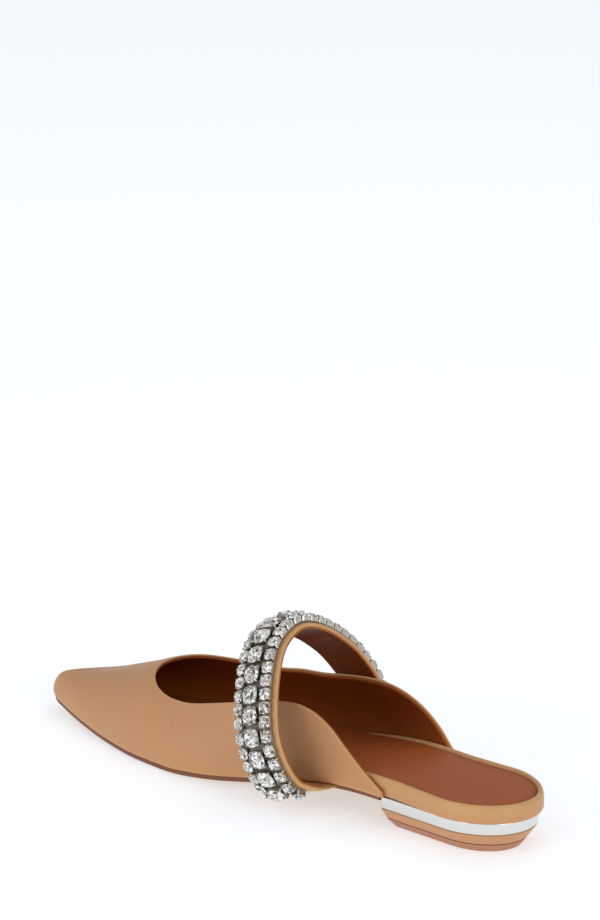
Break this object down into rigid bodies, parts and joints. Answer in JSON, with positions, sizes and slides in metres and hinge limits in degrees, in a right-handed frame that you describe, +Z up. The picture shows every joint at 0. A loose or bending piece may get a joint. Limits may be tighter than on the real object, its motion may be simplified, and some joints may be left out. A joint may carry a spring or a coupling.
{
  "type": "pointed flat mule",
  "caption": "Pointed backless flat shoe with a jewelled strap looped over the instep, a layered low heel and a thin sole; it stands empty on its heel and forefoot",
  "frame": {"origin": "On the floor under the middle of the heel seat", "axes": "+X from the heel to the toe, +Y to the inner (medial) side of the foot, +Z up"},
  "size_m": [0.262, 0.0938, 0.0748],
  "materials": {
    "tan_leather": "smooth, half gloss",
    "brown_leather": "smooth, half gloss",
    "sole_leather": "waxed edge",
    "mirror_metal": "mirror",
    "top_piece": "satin",
    "clear_stones": "faceted stones in silver cups"
  },
  "bodies": {
    "root": {"upper": "tan_leather", "outsole": "sole_leather", "footbed": "tan_leather", "sock": "brown_leather", "heel_band": "mirror_metal", "heel_block": "tan_leather", "heel_top_piece": "top_piece", "strap": "tan_leather", "trim_row_rear": "clear_stones", "trim_row_middle": "clear_stones", "trim_row_front": "clear_stones"}
  },
  "joints": []
}
